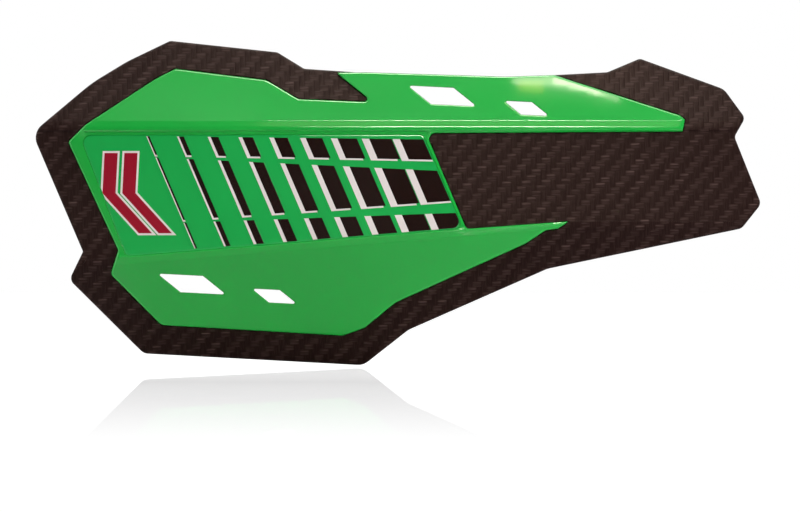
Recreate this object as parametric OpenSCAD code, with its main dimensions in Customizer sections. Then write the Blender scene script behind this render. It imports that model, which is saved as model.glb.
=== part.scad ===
// Off-road motorcycle hand guard: a faceted impact shell, a gloss cover over it,
// a printed sticker in the cover's sunk panel, and the arm and split clamp that
// hold it on the handlebar. The frame's origin is the middle of the handlebar
// bore, +X runs along the bar towards the bike's middle, -Y is forwards.

/* [Shield] */
// Length of the shell between the sharp corners of its outline
guard_len = 263.4; // [255:0.1:272]
// Height of the shell between the sharp corners of its outline
guard_h = 117.4; // [112:0.1:122]
// Wall of the shell
shell_wall = 2.6; // [2.2:0.1:3.2]
// Width of the stiffening lip round the back of the shell
lip_w = 2.2; // [1.6:0.1:3]
// Depth of that lip
lip_h = 1.8; // [1:0.1:2.6]
// Wall of the cover
cover_wall = 1.9; // [1.6:0.1:2.4]
// How far the cover stands above the shell's rim
cover_proud = 1.0; // [0.7:0.1:1.3]
// Gap all round between the cover's edge and its seat in the shell
cover_gap = 0.2; // [0.15:0.05:0.4]
// Radius of the shield's bend round the hand, seen from above
bend_radius = 350; // [320:5:420]
// How far inboard of the shield's middle the bend is foremost
bend_shift = 30; // [20:1:40]
// Backward lean of the upper wing, in degrees
upper_lean = 38; // [32:1:42]
// Backward lean of the lower wing, in degrees
lower_lean = 30; // [25:1:36]
// Width of the bevel between the middle panel and a wing
bevel_w = 2.3; // [1.8:0.1:2.8]
// Fillet on the two edges of that bevel
bevel_fillet = 2.8; // [2:0.1:3]
// How far the middle panel is sunk below the wings
panel_sink = 0.5; // [0.3:0.1:0.8]

/* [Vents] */
// Length of a large vent
vent_len = 16.4; // [14:0.2:18]
// Height of a large vent
vent_h = 6.2; // [5.2:0.1:7]
// Length of a small vent
small_vent_len = 10; // [8.5:0.1:11]
// Height of a small vent
small_vent_h = 4.6; // [4.2:0.1:5.2]
// How much wider the shell's holes are than the cover's, on each side
vent_margin = 0.6; // [0.4:0.1:0.9]

/* [Sticker] */
// Thickness of the sticker's film
film_t = 0.25; // [0.2:0.05:0.35]
// Thickness of the printed ink
ink_t = 0.12; // [0.08:0.02:0.16]
// Columns of slanted windows in the print
bar_count = 9; // [8:1:9]
// Spacing of those columns
bar_pitch = 11.05; // [10.6:0.05:11.3]
// Width of the narrowest black window
bar_first_w = 0.7; // [0.5:0.1:0.9]
// Width that each column's black window gains on the last
bar_gain = 1.05; // [0.95:0.01:1.1]
// Width of the white edge on the widest window
bar_edge_w = 2.65; // [2.2:0.05:3]
// Width of the light outline round the red chevrons
chevron_outline = 0.7; // [0.5:0.1:0.9]

/* [Fixings] */
// Diameter of the cover's screw bosses
cover_boss_d = 6; // [5.6:0.2:6.6]
// Diameter of the thread-forming screws
screw_d = 3.5; // [3:0.1:3.8]
// Head diameter of those screws
screw_head_d = 6.8; // [6:0.2:7.6]
// Depth of the screw seats behind the shell's front
seat_depth = 7; // [6.5:0.1:8]
// Floor of each screw seat
seat_floor = 1.6; // [1.4:0.1:2]

/* [Mount] */
// Diameter of the handlebar
bar_d = 22.2; // [22:0.1:22.4]
// Wall of the rubber sleeve on the bar
sleeve_wall = 1.9; // [1.6:0.1:2.4]
// Width of the clamp along the bar
clamp_w = 24; // [20:1:28]
// Distance of each clamp bolt from the bar's middle
clamp_bolt_z = 19; // [18:0.5:21]
// Gap between the two halves of the clamp
clamp_split = 1.2; // [0.8:0.1:2]
// Distance from the bar's middle to the shield's front
bar_to_panel = 95; // [90:1:100]
// Spacing of the two bolts that hold the arm to the shell
arm_bolt_pitch = 56; // [52:1:60]
// Thread diameter of all the mounting bolts
bolt_d = 6; // [5.6:0.1:6.2]
// Thickness of the arm's foot
foot_t = 8; // [7:0.5:10]
// Height of the arm along the bar's vertical
arm_h = 20; // [18:1:22]
// Wall of the arm's flanges
arm_wall = 3.2; // [2.8:0.1:3.8]

/* [Hidden] */

$fn = 96;
fit = 0.05;          // clearance of a snug fit
boss_fit = 0.2;      // clearance round and above the cover's bosses
overlap = 0.4;       // how far parts of one moulding run into each other
corner_steps = 4;    // straight steps round each corner of an outline
far = 200;           // reaches past the shield in any direction

// Outline points are [x, z, corner radius] in the drawing.
shell_outline = [
    [-83.2, 57.7, 2.5], [-44.3, 53.4, 3], [-34.6, 47.4, 2], [-12, 45.8, 20],
    [38, 44.1, 60], [74.8, 46.1, 3], [86.6, 51.1, 2.5], [117, 40, 6],
    [124.5, 29.6, 2.5], [120.6, 22.8, 2.5], [130.3, -1.4, 3],
    [123.2, -10.3, 3.5], [53.2, -24.8, 10], [3, -46.9, 10], [-13.2, -59.7, 6],
    [-92.8, -55.5, 4], [-119.6, -28.8, 3], [-114.6, -18.6, 1],
    [-133.1, 24.3, 6], [-111.6, 42.4, 50], [-98.8, 50.2, 50]
];
cover_outline = [
    [-81.2, 47.5, 1.5], [-48.2, 43.3, 6], [-36.6, 36.4, 2], [-9.9, 35.3, 1],
    [-23.2, 46, 0.4], [-12, 46.1, 20], [38, 44.5, 60], [55.6, 45.1, 1],
    [100.6, 30.6, 1.2], [102.7, 29, 0.6], [101.8, 24.6, 0.5],
    [9.4, 24, 2.2], [23.9, -10.4, 1.8], [61, -7.7, 0.2],
    [56.8, -10.4, 1.2], [52.4, -11, 2], [45.2, -15.8, 6], [-1.6, -37, 10],
    [-12.8, -46.2, 5], [-20.6, -49, 5], [-86.4, -45.2, 3.5],
    [-104.6, -26.8, 2], [-101.8, -18.2, 1.5], [-120, 21, 1.5],
    [-113.8, 27.2, 2], [-88.2, 44, 50]
];
// The outlines are drawn for one size, seen from the front, and stretched.
function reach(list) = max(list) - min(list);
stretch_x = guard_len / reach([for (p = shell_outline) p[0]]);
stretch_z = guard_h / reach([for (p = shell_outline) p[1]]);
function placed(p) = [p[0] * stretch_x, p[1] * stretch_z];

// The drawing's own origin, seen from the bar clamp.
clamp_on_panel = [90, 11];
panel_at = [-placed(clamp_on_panel)[0], -bar_to_panel, -placed(clamp_on_panel)[1]];

// The film's corners on the drawing. Its foot follows the lower fold.
film_left_top = [-115.8, 23.4];
film_right_top = [8.2, 23.4];
film_right_foot = [22.7, -11.5];
film_left_foot = [-98.8, -18];
film_above_fold = 0.45;
film_gap = 0.2;      // gap all round between the film and its recess

// Where the folds between the middle panel and the wings run.
upper_fold_z = 26.2 * stretch_z;
fold_left = placed([-103, -21]);
fold_kink = placed([57.6, -7.8]);
fold_slope = atan2(fold_kink[1] - fold_left[1], fold_kink[0] - fold_left[0]);
step_strip = 1;      // strip of wing height left below the upper fold
wing_len = 62;
back_reach = 62;     // how far the room behind the skin is drawn
end_room = 12;       // how far the bend is carried on past each end
outer_span = asin((guard_len / 2 + bend_shift + end_room) / bend_radius);
inner_span = asin((guard_len / 2 - bend_shift + end_room) / bend_radius);

// The lower wing's own bend lies along its fold, so it is this much wider.
slant_radius = bend_radius / pow(cos(fold_slope), 2);

// Vents: [x, z] of the upper left corner, on the drawing.
large_vents = [[2.9, 41.2], [-87.5, -26.6]];
small_vents = [[37.5, 35.7], [-53.4, -32]];
vent_turn = -2.9;
vent_lean = 1.38;    // sideways run of a vent for each unit of its height
vent_corner = 0.4;

// Screws through the shell into the cover, on the drawing.
screw_at = [
    [-78, 37.5], [-4, 37.5], [70, 33.5], [-113, 14], [-96, -29.5],
    [-26, -37], [26, -18]
];
screw_grip = 4.2;
screw_head_h = 2.3;
screw_slot = [3.8, 0.9, 1.4];
screw_tip = 1;       // room below the screw's tip
pad_wall = 2;
boss_root = 8;       // how far before the front surface the bosses are drawn from

// Bolts of the mount.
insert_wall = 1.15;
insert_len = 8;
insert_room = 1;     // room below the insert for displaced plastic
bolt_room = 3;       // depth below the insert kept clear for the bolt's end
shell_boss_wall = 3.6;
shell_boss_len = 20;
rib_t = 2;
rib_drop = 6;        // how far the ribs stop short of the bosses' ends
rib_foot = 9;        // height of the ribs where they run out
rib_out = 19;        // how far the ribs run out past the bosses' middles
rib_slope = 9;       // length of their sloping ends
rib_pair = 5;        // height of the two long ribs from the bosses' middles
boss_z = 0;
boss_xs = [-14 - arm_bolt_pitch, -14];
pad_y = -bar_to_panel + shell_boss_len;
limiter_wall = 1.4;
washer_t = 1.4;
washer_over = 3.4;
bolt_head_h = 5;
bolt_af = 10;
bolt_clear = 0.25;
bolt_flange = [1.2, 1.4];    // height of the bolts' flanges, and reach past the hexagon
insert_groove = 0.4;
foot_r = 11;
web_t = 4;
pocket_end = 1.5;    // plastic left at each end of the beam's pockets
brace_t = 2.6;

// The clamp.
sleeve_r = bar_d / 2 + sleeve_wall;
sleeve_flange = 1.4;
sleeve_flange_t = 1.2;
clamp_wall = 5;
lug_end = 6.5;
arm_lug_t = 12.4;
cap_lug_t = 9;
nut_h = 5;
nut_sunk = 3;

function unit(v) = v / norm(v);
function flat(lists) = [for (l = lists) each l];
function flipped(pts) = [for (i = [len(pts) - 1:-1:0]) pts[i]];

// One corner b of an outline, rounded to radius r where its sides allow it.
function corner(a, b, c, r) =
    let(
        u = unit(a - b),
        v = unit(c - b),
        half = acos(max(-1, min(1, u * v))) / 2,
        t = min(r / tan(half), 0.48 * norm(a - b), 0.48 * norm(c - b)),
        rr = t * tan(half),
        o = b + unit(u + v) * rr / sin(half),
        from = b + u * t - o,
        to = b + v * t - o,
        turn = atan2(from[0] * to[1] - from[1] * to[0], from * to),
        start = atan2(from[1], from[0])
    )
    r <= 0 || half > 89.9 ? [b]
    : [
        for (i = [0:corner_steps])
            let(a = start + turn * i / corner_steps) o + rr * [cos(a), sin(a)]
    ];

function rounded(pts) =
    let(n = len(pts), p = [for (q = pts) [q[0], q[1]]])
    flat([for (i = [0:n - 1]) corner(p[(i + n - 1) % n], p[i], p[(i + 1) % n], pts[i][2])]);

function outline(pts) = rounded([for (p = pts) [placed(p)[0], placed(p)[1], p[2]]]);

// A wing's section from its fold outwards, d behind the front: [depth, height].
function wing_line(d, lean) =
    let(
        n0 = [1, 0],
        n1 = [cos(lean / 2), sin(lean / 2)],
        n2 = [cos(lean), sin(lean)],
        fold1 = [0, 0],
        fold2 = bevel_w * [-sin(lean / 2), cos(lean / 2)],
        p1 = fold1 - d * (n0 + n1) / (1 + n0 * n1),
        p2 = fold2 - d * (n1 + n2) / (1 + n1 * n2),
        tip = fold2 + wing_len * [-sin(lean), cos(lean)] - d * n2,
        foot = [-d, -step_strip],
        r = max(bevel_fillet - d, 0)
    )
    concat(corner(foot, p1, p2, r), corner(p1, p2, tip, r), [tip]);

// The same line with the sunk middle panel below it, down to z_low.
function upper_line(d, z_low) =
    concat(
        [[-d - panel_sink, z_low], [-d - panel_sink, upper_fold_z - step_strip - panel_sink],
         [-d, upper_fold_z - step_strip]],
        [for (p = wing_line(d, upper_lean)) p + [0, upper_fold_z]]
    );

function lower_line(d) = [for (p = wing_line(d, lower_lean)) [p[0], -p[1]]];

// The closed section between two depths, or from one depth to far behind.
function band(front, back) = concat(front, flipped(back));
function room(front) =
    let(last = front[len(front) - 1])
    concat(front, [[-back_reach, last[1]], [-back_reach, front[0][1]]]);

// Carries a section round the bend.
module bent(section, radius = bend_radius) {
    translate([bend_shift, radius, 0])
        rotate([0, 0, 270 - outer_span])
            rotate_extrude(angle = outer_span + inner_span, $fn = 512)
                polygon([for (p = section) [radius + p[0], p[1]]]);
}

// Straight through the shield along Y, from a front view outline.
module prism(pts, y0 = -far / 4, y1 = far / 2) {
    translate([0, y1, 0])
        rotate([90, 0, 0])
            linear_extrude(y1 - y0) polygon(pts);
}

module wide_prism(pts, grow, y0 = -far / 4, y1 = far / 2) {
    translate([0, y1, 0])
        rotate([90, 0, 0])
            linear_extrude(y1 - y0) offset(delta = grow) polygon(pts);
}

// The same prism with its middle left out, all but a rim.
module rim_prism(pts, rim_w) {
    translate([0, far / 2, 0])
        rotate([90, 0, 0])
            linear_extrude(far * 3 / 4)
                difference() {
                    polygon(pts);
                    offset(delta = -rim_w) polygon(pts);
                }
}

fold_far = fold_kink - far * [cos(fold_slope), sin(fold_slope)];

module upper_zone(section) {
    intersection() {
        bent(section);
        prism([fold_far, fold_kink, [far, fold_kink[1]], [far, far], [fold_far[0], far]]);
    }
}

module lower_outer_zone(section) {
    intersection() {
        translate([bend_shift, 0, fold_z(bend_shift)])
            rotate([0, -fold_slope, 0])
                translate([-bend_shift, 0, 0])
                    bent(section, slant_radius);
        prism([fold_far, fold_kink, [fold_kink[0], -far], [fold_far[0], -far]]);
    }
}

module lower_inner_zone(section) {
    intersection() {
        translate([0, 0, fold_kink[1]]) bent(section);
        prism([fold_kink, [far, fold_kink[1]], [far, -far], [fold_kink[0], -far]]);
    }
}

// The shield's skin between depths d1 and d2 behind its front.
module skin(d1, d2) {
    union() {
        upper_zone(band(upper_line(d1, -60), upper_line(d2, -60)));
        lower_outer_zone(band(lower_line(d1), lower_line(d2)));
        lower_inner_zone(band(lower_line(d1), lower_line(d2)));
    }
}

// All the room behind depth d.
module behind(d) {
    union() {
        upper_zone(room(upper_line(d, -60)));
        lower_outer_zone(room(lower_line(d)));
        lower_inner_zone(room(lower_line(d)));
    }
}

// How far back the front surface lies at a point of the front view.
function wing_back(h, lean) =
    h <= 0 ? 0
    : h <= bevel_w * cos(lean / 2) ? h * tan(lean / 2)
    : bevel_w * sin(lean / 2) + (h - bevel_w * cos(lean / 2)) * tan(lean);
function bend_back(x, inset) = bend_radius - sqrt(pow(bend_radius - inset, 2) - pow(x - bend_shift, 2));
function fold_z(x) =
    x > fold_kink[0] ? fold_kink[1] : fold_kink[1] + (x - fold_kink[0]) * tan(fold_slope);
function front_y(p) =
    let(
        up = p[1] - upper_fold_z,
        down = (fold_z(p[0]) - p[1]) * (p[0] > fold_kink[0] ? 1 : cos(fold_slope))
    )
    bend_back(p[0], up > 0 ? wing_back(up, upper_lean) : down > 0 ? wing_back(down, lower_lean) : panel_sink);

module rod(p, y0, y1, r) {
    translate([p[0], y1, p[1]])
        rotate([90, 0, 0]) cylinder(h = y1 - y0, r = r);
}

// Vents

function vent_shape(at, length, height) =
    let(
        run = vent_lean * height,
        raw = [[0, 0], [length, 0], [length + run, -height], [run, -height]],
        across = [cos(vent_turn), sin(vent_turn)],
        up = [-sin(vent_turn), cos(vent_turn)],
        turned = [for (p = raw) placed(at) + p[0] * across + p[1] * up]
    )
    rounded([for (p = turned) [p[0], p[1], vent_corner]]);

module vents(grow) {
    for (at = large_vents) wide_prism(vent_shape(at, vent_len, vent_h), grow);
    for (at = small_vents) wide_prism(vent_shape(at, small_vent_len, small_vent_h), grow);
}

// The shell

recess = cover_wall - cover_proud;
function seat_y(p) = front_y(p) + seat_depth;
boss_on_panel = [for (x = boss_xs) [x - panel_at[0], boss_z - panel_at[2]]];
pad_on_panel = pad_y + bar_to_panel;
insert_r = bolt_d / 2 + insert_wall;
boss_r = insert_r + shell_boss_wall;

// A rib between two bosses, seen flat, with its ends sloping down to the wall.
function rib_shape(a, b, top) = [
    [a - rib_out, -5], [b + rib_out, -5], [b + rib_out, rib_foot],
    [b + rib_out - rib_slope, top], [a - rib_out + rib_slope, top], [a - rib_out, rib_foot]
];

module shell_backing() {
    top = pad_on_panel - rib_drop;
    a = boss_on_panel[0];
    b = boss_on_panel[1];
    intersection() {
        union() {
            for (q = screw_at) let(p = placed(q), pad_r = cover_boss_d / 2 + boss_fit + pad_wall)
                rod(p, front_y(p) - boss_root, seat_y(p) + seat_floor, pad_r);
            for (p = boss_on_panel) {
                rod(p, -5, pad_on_panel, boss_r);
                translate([p[0] - rib_t / 2, 0, p[1]])
                    rotate([90, 0, 90])
                        linear_extrude(rib_t) polygon(rib_shape(0, 0, top));
            }
            for (side = [-1, 1])
                translate([0, 0, a[1] + side * rib_pair - rib_t / 2])
                    linear_extrude(rib_t)
                        polygon(rib_shape(a[0], b[0], top));
        }
        behind(recess + overlap);
    }
}

module base_shell() {
    color([0.16, 0.12, 0.12])
    translate(panel_at)
    difference() {
        union() {
            intersection() {
                skin(0, shell_wall);
                prism(outline(shell_outline));
            }
            intersection() {
                skin(shell_wall - overlap, shell_wall + lip_h);
                rim_prism(outline(shell_outline), lip_w);
            }
            shell_backing();
        }
        intersection() {
            skin(-cover_proud - 2, recess);
            wide_prism(outline(cover_outline), cover_gap);
        }
        vents(vent_margin);
        for (q = screw_at) let(p = placed(q)) {
            rod(p, front_y(p) - boss_root, seat_y(p), cover_boss_d / 2 + boss_fit);
            rod(p, front_y(p), seat_y(p) + 2 * seat_floor, screw_d / 2 + boss_fit);
        }
        for (p = boss_on_panel) {
            rod(p, pad_on_panel - insert_len - insert_room, pad_on_panel + 1, insert_r + fit);
            rod(p, pad_on_panel - insert_len - bolt_room, pad_on_panel, bolt_d / 2 + bolt_clear);
        }
    }
}

// The cover

function film_outline(grow) =
    let(
        lt = placed(film_left_top),
        rt = placed(film_right_top) + [grow, 0],
        rf = placed(film_right_foot) + [grow, 0],
        lf = placed(film_left_foot),
        foot_z = function (x) fold_z(x) + film_above_fold - grow
    )
    rounded([
        [lt[0] - grow, rt[1] + grow, 3], [rt[0], rt[1] + grow, 2.4],
        [rf[0], foot_z(rf[0]), 2.4], [lf[0] - grow, foot_z(lf[0]), 2]
    ]);

film_room = film_t + ink_t;

module front_cover() {
    color([0.12, 0.62, 0.25])
    translate(panel_at)
    difference() {
        union() {
            intersection() {
                skin(-cover_proud, recess - fit);
                prism(outline(cover_outline));
            }
            intersection() {
                for (q = screw_at) let(p = placed(q))
                    rod(p, front_y(p) - boss_root, seat_y(p) - boss_fit, cover_boss_d / 2);
                behind(recess - overlap);
            }
        }
        intersection() {
            skin(-2 * cover_proud, -cover_proud + film_room);
            prism(film_outline(film_gap));
        }
        vents(0);
        for (q = screw_at) let(p = placed(q))
            rod(p, seat_y(p) - screw_grip - screw_tip, seat_y(p) + 1, screw_d / 2 + fit);
    }
}

// The sticker: a film and the three inks on it

module on_film(z0, z1) {
    translate(panel_at)
    intersection() {
        skin(-cover_proud + film_room - z1, -cover_proud + film_room - z0);
        children();
    }
}

module sticker_film() {
    color([0.12, 0.58, 0.25])
        on_film(0, film_t) prism(film_outline(0));
}

// The windows lie in three rows between lines that draw together to the right.
bar_lean = 0.43;
bar_start = [-91.3, 22.4];
bar_start_x = placed(bar_start)[0];
row_top = placed(bar_start)[1];
// Each row: the line of its top, the line of its foot, its white underline.
// A line's two heights are those at the x of row_ends.
row_ends = [-80, 20];
rows = [
    [[22.9, 21.6], [16.1, 14.2], 0.6],
    [[14.8, 9.9], [-6.5, 0.4], 0.6],
    [[-7.8, -4.3], [-16.7, -9.7], 0]
];
function row_z(line, x) =
    let(t = (x / stretch_x - row_ends[0]) / (row_ends[1] - row_ends[0]))
    placed([0, line[0] + (line[1] - line[0]) * t])[1];
edge_reach = 0.86;   // share of a window's width that its white edge underlines
edge_first = 0.14;   // share of the full edge width that the first column has
edge_full = 7;       // column from which the edge has its full width
bar_clear = 0.3;     // bare film between a window and the next column
print_margin = 0.35; // bare film round the print
function column_x(k) = bar_start_x + k * bar_pitch;
function edge_w(k) = bar_edge_w * min(1, edge_first + (1 - edge_first) * k / edge_full);

// The last column's windows run on to the film's edge.
function window_w(k) =
    k == bar_count - 1 ? bar_pitch : min(bar_first_w + k * bar_gain, bar_pitch - edge_w(k) - bar_clear);

// A point on a row's line, where the leaning line through x at the top meets it.
function on_row(x, line, drop = 0) =
    let(z = row_z(line, x) - drop) [x + (row_top - z) * bar_lean, z];

// A window, and the white edge at its left and under most of it.
function window(k, row) =
    let(l = column_x(k) + edge_w(k), r = l + window_w(k))
    [on_row(l, row[0]), on_row(r, row[0]), on_row(r, row[1]), on_row(l, row[1])];
function window_edge(k, row) =
    let(
        x = column_x(k),
        l = x + edge_w(k),
        r = l + window_w(k) * edge_reach,
        side = [on_row(x, row[0]), on_row(l, row[0]), on_row(l, row[1])]
    )
    row[2] == 0
        ? concat(side, [on_row(x, row[1])])
        : concat(side, [on_row(r, row[1]), on_row(r, row[1], row[2]), on_row(x, row[1], row[2])]);

module sticker_black_print() {
    color([0.14, 0.08, 0.06])
    on_film(film_t, film_t + ink_t)
    intersection() {
        for (row = rows, k = [0:bar_count - 1]) prism(window(k, row));
        prism(film_outline(-print_margin));
    }
}

// Two slanted chevrons, as flat outlines.
chevron_reach = 7;
chevron_arm = 4.8;
chevron_step = 7.2;
chevron_half = 14.5;
chevron_start = [-107.5, 2.5];
function chevron(i) =
    let(
        at = placed(chevron_start) + [i * chevron_step, 0],
        a = chevron_arm, r = chevron_reach, h = chevron_half
    )
    [for (p = [[0, 0], [r, h], [r + a, h], [a, 0], [r + a, -h], [r, -h]])
        at + [p[0] - bar_lean * p[1], p[1]]];

module chevron_frame(i) {
    translate([0, far / 2, 0])
        rotate([90, 0, 0])
            linear_extrude(far * 3 / 4)
                difference() {
                    offset(delta = chevron_outline) polygon(chevron(i));
                    polygon(chevron(i));
                }
}

module sticker_white_print() {
    color([0.92, 0.87, 0.85])
    on_film(film_t, film_t + ink_t)
    intersection() {
        union() {
            for (row = rows, k = [0:bar_count - 1]) prism(window_edge(k, row));
            for (i = [0, 1]) chevron_frame(i);
        }
        prism(film_outline(-print_margin));
    }
}

module sticker_red_print() {
    color([0.62, 0.07, 0.16])
    on_film(film_t, film_t + ink_t)
    for (i = [0, 1]) prism(chevron(i));
}

// Fasteners of the cover

module cover_screws() {
    color([0.55, 0.56, 0.58])
    translate(panel_at)
    for (q = screw_at) let(p = placed(q), back = seat_y(p) + seat_floor) {
        difference() {
            union() {
                rod(p, seat_y(p) - screw_grip, back + 0.5, screw_d / 2);
                rod(p, back, back + screw_head_h, screw_head_d / 2);
            }
            translate([p[0], back + screw_head_h + fit, p[1]])
                for (a = [0, 90])
                    rotate([90, a, 0])
                        translate([-screw_slot[0] / 2, -screw_slot[1] / 2, 0]) cube(screw_slot);
        }
    }
}

// The mount

module ring(p, y0, y1, outer_r, inner_r) {
    difference() {
        rod(p, y0, y1, outer_r);
        rod(p, y0 - 1, y1 + 1, inner_r);
    }
}

boss_points = [for (x = boss_xs) [x, boss_z]];
foot_back = pad_y + foot_t;
limiter_r = bolt_d / 2 + bolt_clear + limiter_wall;

module mount_inserts() {
    color([0.78, 0.62, 0.3])
    for (p = boss_points) difference() {
        ring(p, pad_y - insert_len, pad_y, insert_r, bolt_d / 2 + fit);
        for (y = [pad_y - insert_len * 0.62, pad_y - insert_len * 0.3])
            ring(p, y - insert_groove, y + insert_groove, insert_r + 1, insert_r - insert_groove);
    }
}

function beam_outline() =
    let(half = clamp_w / 2, l = boss_xs[0] + 11, r = boss_xs[1] - 13)
    [
        [l, foot_back - 2, 0], [l + 4, foot_back + 11, 16], [-half, -26, 8], [-half, -14, 0],
        [half, -14, 0], [half, -29, 8], [r + 8, foot_back + 15, 16], [r, foot_back + 6, 8],
        [r, foot_back - 2, 0]
    ];

module arm_beam() {
    z0 = -arm_h / 2;
    difference() {
        translate([0, 0, z0]) linear_extrude(arm_h) polygon(rounded(beam_outline()));
        for (side = [0, 1])
            translate([0, 0, side * (arm_h + web_t) / 2 + z0 - 1 * (1 - side)])
                linear_extrude((arm_h - web_t) / 2 + 1)
                    difference() {
                        intersection() {
                            offset(delta = -arm_wall) polygon(rounded(beam_outline()));
                            translate([-far, foot_back + pocket_end])
                                square([2 * far, -sleeve_r - clamp_wall - pocket_end - foot_back]);
                        }
                        for (t = [0.3, 0.62])
                            translate([-46 + t * 46, foot_back + t * (-foot_back - 20)])
                                rotate(52) square([60, brace_t], center = true);
                    }
    }
}

// Half of the clamp: a half ring with a lug at each end.
module clamp_half(direction, lug_t) {
    lug_out = clamp_bolt_z + lug_end;
    difference() {
        union() {
            rotate([0, 90, 0]) cylinder(h = clamp_w, r = sleeve_r + clamp_wall, center = true);
            rotate([0, 90, 0])
                linear_extrude(clamp_w, center = true)
                    polygon(rounded([
                        [-lug_out, -direction, 0], [-lug_out, direction * lug_t, 3],
                        [lug_out, direction * lug_t, 3], [lug_out, -direction, 0]
                    ]));
        }
        rotate([0, 90, 0]) cylinder(h = clamp_w + 2, r = sleeve_r + fit, center = true);
        translate([-far / 2, direction > 0 ? clamp_split / 2 - far : -clamp_split / 2, -far / 2])
            cube([far, far, far]);
    }
}

clamp_points = [for (side = [-1, 1]) [0, side * clamp_bolt_z]];
nut_seat_y = -arm_lug_t + nut_sunk;
cap_back = cap_lug_t + washer_t;
clamp_washer_r = bolt_d / 2 + 3;
spot_face = 0.4;     // how much wider the cap's spot faces are than the washers
clamp_head_r = 5;
clamp_key = [5, 3.2];        // width across flats and depth of the hexagon socket
bolt_end = 1.5;      // how far the clamp bolts reach past their nuts
nut_fit = 0.15;

module mounting_arm() {
    color([0.13, 0.13, 0.14])
    difference() {
        union() {
            translate([0, foot_back, 0]) rotate([90, 0, 0])
                linear_extrude(foot_t)
                    polygon(rounded([
                        [boss_xs[0] - foot_r, -foot_r, foot_r * 0.9],
                        [boss_xs[1] + foot_r, -foot_r, foot_r * 0.9],
                        [boss_xs[1] + foot_r, foot_r, foot_r * 0.9],
                        [boss_xs[0] - foot_r, foot_r, foot_r * 0.9]
                    ]));
            difference() {
                arm_beam();
                rotate([0, 90, 0]) cylinder(h = clamp_w + 4, r = sleeve_r + fit, center = true);
            }
            clamp_half(-1, arm_lug_t);
        }
        for (p = boss_points) rod(p, pad_y - 1, foot_back + 1, limiter_r + fit);
        for (p = clamp_points) {
            rod(p, -far / 4, 1, bolt_d / 2 + bolt_clear);
            translate([p[0], nut_seat_y, p[1]])
                rotate([90, 0, 0]) cylinder(h = arm_lug_t, r = bolt_af / 2 / cos(30) + nut_fit, $fn = 6);
        }
    }
}

module arm_sleeves() {
    color([0.7, 0.71, 0.73])
    for (p = boss_points) ring(p, pad_y, foot_back, limiter_r, bolt_d / 2 + bolt_clear);
}

module arm_washers() {
    color([0.7, 0.71, 0.73])
    for (p = boss_points)
        ring(p, foot_back, foot_back + washer_t, bolt_d / 2 + washer_over, bolt_d / 2 + bolt_clear);
}

module arm_bolts() {
    head_y = foot_back + washer_t;
    color([0.6, 0.61, 0.63])
    for (p = boss_points) {
        union() {
            rod(p, pad_y - insert_len + 0.5, head_y + 1, bolt_d / 2);
            translate([p[0], head_y + bolt_head_h, p[1]])
                rotate([90, 0, 0]) cylinder(h = bolt_head_h, r = bolt_af / 2 / cos(30), $fn = 6);
            rod(p, head_y, head_y + bolt_flange[0], bolt_af / 2 + bolt_flange[1]);
        }
    }
}

module bar_sleeve() {
    flange_t = sleeve_flange_t;
    color([0.08, 0.08, 0.08])
    difference() {
        rotate([0, 90, 0]) union() {
            cylinder(h = clamp_w + 2 * flange_t, r = sleeve_r, center = true);
            for (side = [-1, 1])
                translate([0, 0, side * (clamp_w + flange_t) / 2])
                    cylinder(h = flange_t, r = sleeve_r + sleeve_flange, center = true);
        }
        rotate([0, 90, 0]) cylinder(h = clamp_w + 10, r = bar_d / 2, center = true);
        translate([-far / 2, -clamp_split / 2, -far / 2]) cube([far, clamp_split, far / 2]);
    }
}

module clamp_cap() {
    color([0.13, 0.13, 0.14])
    difference() {
        clamp_half(1, cap_lug_t);
        for (p = clamp_points) {
            rod(p, -1, far / 4, bolt_d / 2 + bolt_clear);
            rod(p, cap_lug_t, far / 4, clamp_washer_r + spot_face);
        }
    }
}

module clamp_washers() {
    color([0.7, 0.71, 0.73])
    for (p = clamp_points) ring(p, cap_lug_t, cap_back, clamp_washer_r, bolt_d / 2 + bolt_clear);
}

module clamp_bolts() {
    color([0.6, 0.61, 0.63])
    for (p = clamp_points) difference() {
        union() {
            rod(p, nut_seat_y - nut_h - bolt_end, cap_back + 1, bolt_d / 2);
            rod(p, cap_back, cap_back + bolt_d, clamp_head_r);
        }
        translate([p[0], cap_back + bolt_d + fit, p[1]])
            rotate([90, 0, 0]) cylinder(h = clamp_key[1], r = clamp_key[0] / 2 / cos(30), $fn = 6);
    }
}

module clamp_nuts() {
    color([0.7, 0.71, 0.73])
    for (p = clamp_points) difference() {
        translate([p[0], nut_seat_y, p[1]])
            rotate([90, 0, 0]) cylinder(h = nut_h, r = bolt_af / 2 / cos(30), $fn = 6);
        rod(p, nut_seat_y - nut_h - 1, nut_seat_y + 1, bolt_d / 2 + fit);
    }
}

base_shell();
front_cover();
sticker_film();
sticker_black_print();
sticker_white_print();
sticker_red_print();
cover_screws();
mount_inserts();
mounting_arm();
arm_sleeves();
arm_washers();
arm_bolts();
bar_sleeve();
clamp_cap();
clamp_washers();
clamp_bolts();
clamp_nuts();
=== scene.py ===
import math

import bmesh
import bpy
import numpy as np
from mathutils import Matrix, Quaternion, Vector
from mathutils.geometry import delaunay_2d_cdt


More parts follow.
